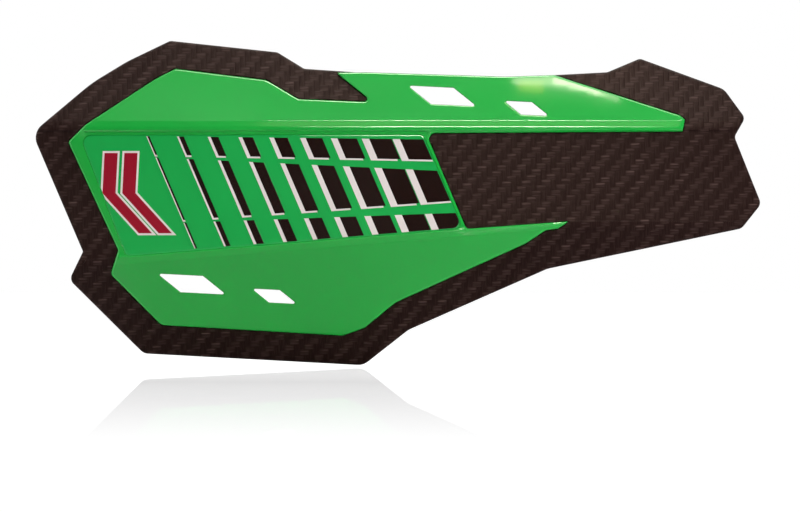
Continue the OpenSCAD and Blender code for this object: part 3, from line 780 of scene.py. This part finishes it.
def shellMaterial():
    look = shellLook
    material, t, shader = newMaterial("shellPlastic")
    place = t.place()
    weave = t.add("ShaderNodeGroup", {"Place": place, "Across": look["warpPitch"], "Up": look["weftPitch"],
                                      "Lean": look["weftLean"]}, node_tree=twill)
    wear = t.add("ShaderNodeGroup", {"Place": place, "Patch": look["wearPatch"], "Low": look["roughness"][0],
                                     "High": look["roughness"][1]}, node_tree=glossWear)
    # yarn colours: the weave's pattern together with its painted sheen and highlight lines
    t.put(shader.inputs["Base Color"], t.mix(weave.outputs["Light"], look["darkYarn"], look["sheenYarn"]))
    t.put(shader.inputs["Roughness"], wear.outputs["Roughness"])
    shader.inputs["Specular IOR Level"].default_value = look["gloss"]
    shader.inputs["Specular Tint"].default_value = look["glossTint"]
    height = t.math("ADD", weave.outputs["Height"],
                    t.math("MULTIPLY", weave.outputs["Fibre"], look["fibreRelief"]))
    bump = t.add("ShaderNodeBump", {"Height": height, "Strength": look["reliefStrength"],
                                    "Distance": look["relief"]})
    t.put(shader.inputs["Normal"], bump.outputs[0])
    return material


def shellBacking():
    # posts round the screws and inserts, and the ribs that brace the two bosses
    f, root = fixings, shellLook["postRoot"]
    padRadius = f["coverBossRadius"] + f["clearance"] + f["padWall"]
    solids = [post(p, padRadius, frontAt(p) + f["seatDepth"] + f["seatFloor"], root) for p in f["screws"]]
    solids += [post(p, f["bossRadius"], f["bossEnd"], root, sides=64) for p in f["bosses"]]

    def addRib(first, last, count, place, across):
        ends = [first, first + f["ribSlope"], last - f["ribSlope"], last]
        along = np.unique(np.append(np.linspace(first, last, count), ends[1:3]))
        tops = np.interp(along, ends, [f["ribFoot"], f["ribTop"], f["ribTop"], f["ribFoot"]])
        solids.append(rib([place(a) for a in along], tops, across, root))

    left, right = f["bosses"]
    for side in (-1, 1):
        z = left[1] + side * f["ribPair"]
        addRib(left[0] - f["ribOut"], right[0] + f["ribOut"], 40, lambda x: (x, z), (0, 1))
    for boss in f["bosses"]:
        addRib(boss[1] - f["ribOut"], boss[1] + f["ribOut"], 24, lambda z: (boss[0], z), (1, 0))
    return solids


def shellHoles():
    # seats and holes of the screws, and the inserts' bores
    f = fixings
    solids = []
    seatRadius, holeRadius = f["coverBossRadius"] + f["clearance"], f["screwRadius"] + f["clearance"]
    for p in f["screws"]:
        seat = frontAt(p) + f["seatDepth"]
        solids.append(steppedRod(p, [(seat - 20, seatRadius), (seat, seatRadius),
                                     (seat, holeRadius), (seat + 5, holeRadius)]))
    end = f["bossEnd"]
    bore = [(end - f["boltDepth"], f["boltBore"]), (end - f["insertDepth"], f["boltBore"]),
            (end - f["insertDepth"], f["insertRadius"]), (end + 1, f["insertRadius"])]
    return solids + [steppedRod(p, bore) for p in f["bosses"]]


def makeShell():
    recess = shield["coverWall"] - shield["coverProud"]
    outer = densify(shellOutline, meshing["edgeStep"])
    holes = [densify(h, meshing["ventStep"]) for h in ventOutlines(vents["shellMargin"])]
    seat = moved(densify(coverOutline, meshing["edgeStep"]), -shield["coverGap"])
    wall, curve = meshing["stepWidth"], shellLook["seatRound"]
    edge, lip, rise = shellLook["edgeRadius"], shellLook["lipWidth"], shellLook["lipRise"]
    steps = [moved(seat, -curve), seat, moved(seat, wall), moved(outer, lip), moved(outer, lip + rise)]
    steps = [s[edgeDistance(s, outer) > edge + 0.1] for s in steps]
    flat, tris = triangulate(outer, holes, [share * edge for share in meshing["edgeRings"]], steps,
                             meshing["plateSpacing"], meshing["keepOff"])
    fromEdge = edgeDistance(flat, outer)
    inSeat = edgeDistance(flat, seat)
    front = recess * np.clip(inSeat / wall, 0, 1)
    front = front + rounding(np.clip(-inSeat, 0, 9), curve) * (inSeat <= 0) + rounding(fromEdge, edge)
    back = shield["shellWall"] + shellLook["lipHeight"] * np.clip(1 - (fromEdge - lip) / rise, 0, 1)
    back = back - rounding(fromEdge, shellLook["backRadius"])
    mesh = plateMesh("baseShell", flat, tris, frontDepth(flat, np.round(front, 3)),
                     frontDepth(flat, np.round(back, 3)))
    mesh = combined(mesh, solidsMesh("shellBacking", shellBacking()), "UNION")
    mesh = combined(mesh, solidsMesh("shellHoles", shellHoles()), "DIFFERENCE")
    return newPiece("baseShell", mesh, ["base_shell"], shellMaterial())


shellPiece = makeShell()
print("base shell:", len(shellPiece.data.polygons), "faces")


# Gloss cover

coverLook = {
    "edgeRadius": 0.75,
    "ventRounding": 0.7,        # share of the edge radius that the vents have
    "filmGap": 0.2,
    "backGap": 0.05,
    "postRoot": 0.3,
    "colour": (0.012, 0.40, 0.050),
    "roughness": (0.10, 0.16),
}


def makeCover():
    recess = shield["coverWall"] - shield["coverProud"]
    outer = densify(coverOutline, meshing["edgeStep"])
    holes = [densify(h, meshing["ventStep"]) for h in ventOutlines()]
    edge, wall = coverLook["edgeRadius"], meshing["stepWidth"]
    film = densify(filmOutline(coverLook["filmGap"]), meshing["edgeStep"])
    flat, tris = triangulate(outer, holes, [share * edge for share in meshing["edgeRings"]],
                             [film, moved(film, wall)], meshing["plateSpacing"], meshing["keepOff"])
    front = -shield["coverProud"] + rounding(edgeDistance(flat, outer), edge)
    for h in holes:
        front = front + rounding(-edgeDistance(flat, h), edge * coverLook["ventRounding"])
    sunk = shield["filmThick"] + shield["inkThick"]
    front = front + sunk * np.clip(edgeDistance(flat, film) / wall, 0, 1)
    mesh = plateMesh("frontCover", flat, tris, frontDepth(flat, np.round(front, 3)),
                     frontDepth(flat, recess - coverLook["backGap"]))
    f, root = fixings, coverLook["postRoot"]
    posts = [post(p, f["coverBossRadius"], frontAt(p) + f["seatDepth"] - f["clearance"], root,
                  f["screwRadius"] + f["threadGap"], f["screwDepth"]) for p in f["screws"]]
    mesh = combined(mesh, solidsMesh("coverBosses", posts), "UNION")
    material = finishedMaterial("coverPlastic", coverLook["colour"], coverLook["roughness"], "gloss")
    return newPiece("frontCover", mesh, ["front_cover"], material)


coverPiece = makeCover()
print("front cover:", len(coverPiece.data.polygons), "faces")


# Sticker film and print

filmLook = {
    "rollWidth": 0.6,
    "rollDrop": 0.09,
    "colour": (0.013, 0.40, 0.076),
    "black": (0.013, 0.0042, 0.003),
    "white": (0.80, 0.72, 0.72),
    "red": (0.33, 0.007, 0.024),
    "roughness": (0.06, 0.10),
}


def makeFilm():
    outer = densify(filmOutline(), meshing["edgeStep"])
    width = filmLook["rollWidth"]
    flat, tris = triangulate(outer, [], [width * k / 4 for k in range(5)], [],
                             meshing["filmSpacing"], meshing["keepOff"])
    rolled = filmLook["rollDrop"] * (1 - np.clip(edgeDistance(flat, outer) / width, 0, 1)) ** 2
    front = shield["inkThick"] - shield["coverProud"] + rolled
    back = shield["filmThick"] + shield["inkThick"] - shield["coverProud"]
    mesh = plateMesh("stickerFilm", flat, tris, frontDepth(flat, np.round(front, 3)), frontDepth(flat, back))
    material = finishedMaterial("filmGreen", filmLook["colour"], filmLook["roughness"], "gloss")
    return newPiece("stickerFilm", mesh, ["sticker_film"], material)


printLook = {
    "rows": [((22.9, 21.6), (16.1, 14.2), 0.6), ((14.8, 9.9), (-6.5, 0.4), 0.6),
             ((-7.8, -4.3), (-16.7, -9.7), 0.0)],
    "rowFrom": -80.0,           # x where the rows have their first height, and the run to the second
    "rowRun": 100.0,
    "lean": 0.43,
    "startX": -91.3,
    "rowTop": 22.4,
    "pitch": 11.05,
    "columns": 9,
    "firstWidth": 0.7,
    "gain": 1.05,
    "edgeWidth": 2.65,
    "edgeFirst": 0.14,          # share of the full edge width that the first column has
    "edgeFull": 7,              # column from which the edge has its full width
    "edgeReach": 0.86,
    "clear": 0.3,
    "margin": 0.35,
    "badgeAt": (-107.5, 2.5),
    "badgeStep": 7.2,
    "badgeArm": 4.8,
    "badgeReach": 7.0,
    "badgeHalf": 14.5,
    "badgeLine": 0.7,
}


def onRow(x, line, drop=0.0):
    # where the leaning line through x at the top row meets a row's line
    z = line[0] + (line[1] - line[0]) * (x - printLook["rowFrom"]) / printLook["rowRun"] - drop
    return np.array([x + (printLook["rowTop"] - z) * printLook["lean"], z])


def windowShapes():
    # dark windows in rows and leaning columns, each with a light edge on its left and foot
    look = printLook
    dark, light = [], []
    for k in range(look["columns"]):
        x = look["startX"] + k * look["pitch"]
        share = look["edgeFirst"] + (1 - look["edgeFirst"]) * k / look["edgeFull"]
        edgeWidth = look["edgeWidth"] * min(1.0, share)
        left = x + edgeWidth
        width = min(look["firstWidth"] + k * look["gain"], look["pitch"] - edgeWidth - look["clear"])
        if k == look["columns"] - 1:
            width = look["pitch"]
        right, reach = left + width, left + width * look["edgeReach"]
        for top, foot, drop in look["rows"]:
            dark.append([onRow(left, top), onRow(right, top), onRow(right, foot), onRow(left, foot)])
            edge = [onRow(x, top), onRow(left, top), onRow(left, foot)]
            if drop:
                edge += [onRow(reach, foot), onRow(reach, foot, drop)]
            light.append(edge + [onRow(x, foot, drop)])
    return dark, light


def chevron(k):
    look = printLook
    r, a, h = look["badgeReach"], look["badgeArm"], look["badgeHalf"]
    at = np.array(look["badgeAt"]) + (k * look["badgeStep"], 0)
    return np.array([at + (x - look["lean"] * z, z)
                     for x, z in [(0, 0), (r, h), (r + a, h), (a, 0), (r + a, -h), (r, -h)]])


def grown(pts, distance):
    # a polygon with each side moved outwards
    if signedArea(pts) < 0:
        pts = pts[::-1]
    sides = []
    for a, b in zip(pts, np.roll(pts, -1, axis=0)):
        d = unit(b - a)
        sides.append((a + distance * np.array([d[1], -d[0]]), d))
    out = []
    for (a, d), (b, e) in zip([sides[-1]] + sides[:-1], sides):
        t = ((b - a)[0] * e[1] - (b - a)[1] * e[0]) / (d[0] * e[1] - d[1] * e[0])
        out.append(a + t * d)
    return np.array(out)


def clipped(pts, outline):
    # the part of a polygon inside a convex outline
    if signedArea(outline) < 0:
        outline = outline[::-1]
    pts = [np.array(p) for p in pts]
    for a, b in zip(outline, np.roll(outline, -1, axis=0)):
        side = [float((b - a)[0] * (p - a)[1] - (b - a)[1] * (p - a)[0]) for p in pts]
        kept = []
        for k, p in enumerate(pts):
            q, s, t = pts[k - 1], side[k - 1], side[k]
            if (s < 0) != (t < 0):
                kept.append(q + (p - q) * s / (s - t))
            if t >= 0:
                kept.append(p)
        pts = kept
        if len(pts) < 3:
            return None
    return thinned(np.array(pts), 0.02)


def inkPiece(name, shapes, node, colour):
    # flat fields of ink lying on the film
    foot = shield["inkThick"] - shield["coverProud"]
    verts, faces = [], []
    for shape, holes in shapes:
        outer, *inner = [densify(pts, meshing["inkStep"]) for pts in [shape] + holes]
        flat, tris = triangulate(outer, inner, [0.0], [], meshing["filmSpacing"], meshing["inkKeepOff"])
        mesh = plateMesh(name, flat, tris, frontDepth(flat, -shield["coverProud"]), frontDepth(flat, foot))
        shift = len(verts)
        verts += [tuple(v.co) for v in mesh.vertices]
        faces += [tuple(i + shift for i in f.vertices) for f in mesh.polygons]
        bpy.data.meshes.remove(mesh)
    mesh = bpy.data.meshes.new(name)
    mesh.from_pydata(verts, [], faces)
    material = finishedMaterial("ink" + colour.capitalize(), filmLook[colour], filmLook["roughness"], "gloss")
    return newPiece(name, mesh, [node], material)


filmPiece = makeFilm()
margin = filmOutline(-printLook["margin"])
darkShapes, lightShapes = ([(c, []) for c in (clipped(s, margin) for s in shapes) if c is not None]
                           for shapes in windowShapes())
badge = [chevron(0), chevron(1)]
lightShapes += [(clipped(grown(c, printLook["badgeLine"]), margin), [c]) for c in badge]
inkPiece("blackPrint", darkShapes, "sticker_black_print", "black")
inkPiece("whitePrint", lightShapes, "sticker_white_print", "white")
inkPiece("redPrint", [(c, []) for c in badge], "sticker_red_print", "red")
print("sticker:", len(filmPiece.data.polygons), "faces")


# Hardware

# finish, colour, roughness and the nodes that have it
hardware = {
    "armPlastic": ("moulded", (0.02, 0.02, 0.022), (0.45, 0.6), ["mounting_arm", "clamp_cap"]),
    "sleeveRubber": ("moulded", (0.011, 0.011, 0.011), (0.65, 0.8), ["bar_sleeve"]),
    "zincSteel": ("metal", (0.62, 0.62, 0.64), (0.28, 0.42),
                  ["cover_screws", "arm_sleeves", "arm_washers", "clamp_washers", "clamp_nuts"]),
    "boltSteel": ("metal", (0.5, 0.5, 0.52), (0.3, 0.45), ["arm_bolts", "clamp_bolts"]),
    "insertBrass": ("metal", (0.72, 0.5, 0.22), (0.25, 0.4), ["mount_inserts"]),
}

for name, (finish, colour, roughness, nodes) in hardware.items():
    material = finishedMaterial(name, colour, roughness, finish)
    for node in nodes:
        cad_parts[node].data.materials.clear()
        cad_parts[node].data.materials.append(material)
print("hardware dressed")


# Floor, light and camera

studio = {
    "lens": 1000.0,             # long, as the photo has nearly no perspective
    "metresPerPixel": 0.00036,
    "imageWidth": 800,
    "aim": (0.0, -20.2),        # what the picture's middle shows, on the outlines
    "floorDrop": 0.0006,
    "floorSize": 16.0,
    "floorColour": 0.66,
    "floorRoughness": 0.7,
    "floorGlow": 0.785,         # what the camera sees of the floor beyond its lit colour
    "mirrorShare": 0.84,
    "mirrorMost": 0.51,
    "mirrorFade": 3.5,
    "mirrorCurve": 1.3,
    "mirrorGrazing": 6.0,
    "front": 0.03,              # the room's levels
    "above": 0.36,
    "behind": 1.0,
    "lightAim": (20.0, 10.0),
}
white, warm = (1.0, 1.0, 1.0), (1.0, 1.0, 0.82)
# name, azimuth, elevation, distance, size, radiance, what it is seen in, colour
lamps = [
    ("keyLight", -45, 62, 1.5, (0.9, 0.7), 8.1, "matt", white),
    ("sideLight", 60, 10, 1.5, (0.9, 0.35), 14.0, "matt", white),
    ("backLight", 160, 35, 1.6, (0.9, 0.9), 5.0, "matt", white),
    ("lowStrip", 0, 20, 1.3, (0.76, 0.08), 75.0, "gloss", warm),
    ("lowStripEnds", 0, 20, 1.3, (1.1, 0.08), 25.0, "gloss", warm),
    ("highStrip", 0, 57, 1.3, (0.76, 0.12), 110.0, "gloss", warm),
    ("highStripEnds", 0, 57, 1.3, (1.1, 0.12), 35.0, "gloss", warm),
    ("middleStrip", 0, 38, 1.3, (1.3, 0.22), 1.4, "gloss", (1.0, 1.0, 0.6)),
    ("rimLight", 0, 112, 1.3, (0.35, 0.4), 14.0, "gloss", warm),
    ("rimLightEnds", 0, 112, 1.3, (1.2, 0.4), 6.0, "gloss", warm),
    ("sideStrip", -100, 10, 1.3, (0.3, 1.0), 4.0, "gloss", white),
]
# name, place of the mirror image on the outlines, distance, size, radiance, colour
glints = [
    ("wingGlint", (60.5, 43.5), 0.06, (0.048, 0.008), 9.0, (1.0, 0.92, 0.74)),
    ("wingGlintTip", (64.5, 43.3), 0.06, (0.022, 0.006), 12.0, (1.0, 0.88, 0.72)),
    ("wingGlintEdge", (47.5, 41.0), 0.06, (0.011, 0.005), 5.0, (1.0, 0.8, 0.1)),
]


def placeCamera():
    data = bpy.data.cameras.new("camera")
    data.lens = studio["lens"]
    data.clip_end = 50
    camera = placed("camera", data)
    distance = studio["imageWidth"] * studio["metresPerPixel"] * data.lens / data.sensor_width
    x, y, z = inFrame(studio["aim"][0], 0, studio["aim"][1])
    camera.location = (x, y - distance, z)
    camera.rotation_euler = (math.radians(90), 0, 0)
    bpy.context.scene.camera = camera


def makeFloor():
    # pale glossy table, whose mirror image of the guard fades away towards the camera
    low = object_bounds()[0]
    mesh = bpy.data.meshes.new("floor")
    h = studio["floorSize"]
    mesh.from_pydata([(-h, -h, 0), (h, -h, 0), (h, h, 0), (-h, h, 0)], [], [(0, 1, 2, 3)])
    floor = placed("floor", mesh)
    floor.location = (0, 0, low[2] - studio["floorDrop"])
    material, t, shader = newMaterial("paleFloor")
    shader.inputs["Base Color"].default_value = (studio["floorColour"],) * 3 + (1,)
    shader.inputs["Roughness"].default_value = studio["floorRoughness"]
    shader.inputs["Specular IOR Level"].default_value = 0.0
    shader.inputs["Emission Color"].default_value = (1, 1, 1, 1)
    fromCamera = t.add("ShaderNodeLightPath").outputs["Is Camera Ray"]
    t.put(shader.inputs["Emission Strength"], t.math("MULTIPLY", fromCamera, studio["floorGlow"]))
    mirror = t.add("ShaderNodeBsdfGlossy", {"Color": (1, 1, 1, 1), "Roughness": 0.0})
    distance = t.add("ShaderNodeVectorMath", {0: t.place()}, operation="LENGTH").outputs["Value"]
    fade = t.math("SUBTRACT", 1.0, t.math("DIVIDE", distance, studio["mirrorFade"]), clamp=True)
    fade = t.math("POWER", fade, studio["mirrorCurve"])
    facing = t.add("ShaderNodeLayerWeight", {"Blend": 0.5}).outputs["Facing"]
    grazing = t.math("POWER", facing, studio["mirrorGrazing"])
    share = t.math("MULTIPLY", t.math("MULTIPLY", fade, grazing), studio["mirrorShare"])
    share = t.math("MINIMUM", share, studio["mirrorMost"])
    both = t.add("ShaderNodeMixShader", {0: share, 1: shader.outputs[0], 2: mirror.outputs[0]})
    t.put(material.node_tree.nodes["Material Output"].inputs["Surface"], both.outputs[0])
    floor.data.materials.append(material)


def makeWorld():
    # pale room, dark on the camera's side
    world = bpy.data.worlds.new("studio")
    world.use_nodes = True
    world.node_tree.nodes.clear()
    t = Tree(world.node_tree)
    path = t.add("ShaderNodeLightPath")
    xyz = t.add("ShaderNodeSeparateXYZ", {"Vector": t.add("ShaderNodeTexCoord").outputs["Generated"]})
    height = t.smooth(t.math("ABSOLUTE", xyz.outputs["Z"]), 0.45, 0.9)
    level = t.blendValue(t.math("MAXIMUM", height, t.smooth(xyz.outputs["Y"], -0.3, 0.4)),
                         studio["front"], studio["above"])
    level = t.blendValue(t.smooth(xyz.outputs["Y"], 0.5, 0.8), level, studio["behind"])
    plain, seen = (t.add("ShaderNodeBackground", {"Color": (1, 1, 1, 1), "Strength": strength})
                   for strength in (level, 1.0))
    mixed = t.add("ShaderNodeMixShader", {0: path.outputs["Is Camera Ray"], 1: plain.outputs[0],
                                          2: seen.outputs[0]})
    t.add("ShaderNodeOutputWorld", {"Surface": mixed.outputs[0]})
    bpy.context.scene.world = world


def panelLight(name, place, towards, size, radiance, colour):
    data = bpy.data.lights.new(name, "AREA")
    data.shape = "RECTANGLE"
    data.size, data.size_y = size
    data.energy = radiance * math.pi * size[0] * size[1]
    data.color = colour
    lamp = placed(name, data)
    lamp.location = place
    lamp.rotation_euler = towards.to_track_quat("-Z", "Y").to_euler()
    return lamp


def lightFrom(name, azimuth, elevation, distance, size, radiance, seenIn, colour):
    # panel seen from the shield in a direction: azimuth 0 is the camera's side, + is the picture's right
    a, e = math.radians(azimuth), math.radians(elevation)
    out = Vector((math.sin(a) * math.cos(e), -math.cos(a) * math.cos(e), math.sin(e)))
    aim = Vector(inFrame(studio["lightAim"][0], 0, studio["lightAim"][1]))
    lamp = panelLight(name, aim + distance * out, -out, size, radiance, colour)
    lamp.visible_glossy = seenIn == "gloss"
    lamp.visible_diffuse = seenIn == "matt"


def glint(name, at, distance, size, radiance, colour):
    # a small panel whose mirror image lies at a point of the front view
    step = 0.05
    around = np.array(at) + step * np.array([(1, 0), (-1, 0), (0, 1), (0, -1)])
    right, left, up, down = frontDepth(around, 0.0)
    normal = Vector((right - left, -2 * step, up - down)).normalized()
    view = Vector((0, 1, 0))
    out = view - 2 * view.dot(normal) * normal
    spot = Vector(inFrame(at[0], frontAt(at), at[1]))
    lamp = panelLight(name, spot + distance * out, -out, size, radiance, colour)
    turn = Quaternion(out, -math.atan2(out.x, -out.y))
    lamp.rotation_euler = (turn @ lamp.rotation_euler.to_quaternion()).to_euler()
    lamp.visible_diffuse = False


placeCamera()
makeFloor()
makeWorld()
for row in lamps:
    lightFrom(*row)
for row in glints:
    glint(*row)
bpy.context.scene.view_settings.view_transform = "Standard"
print("studio ready")
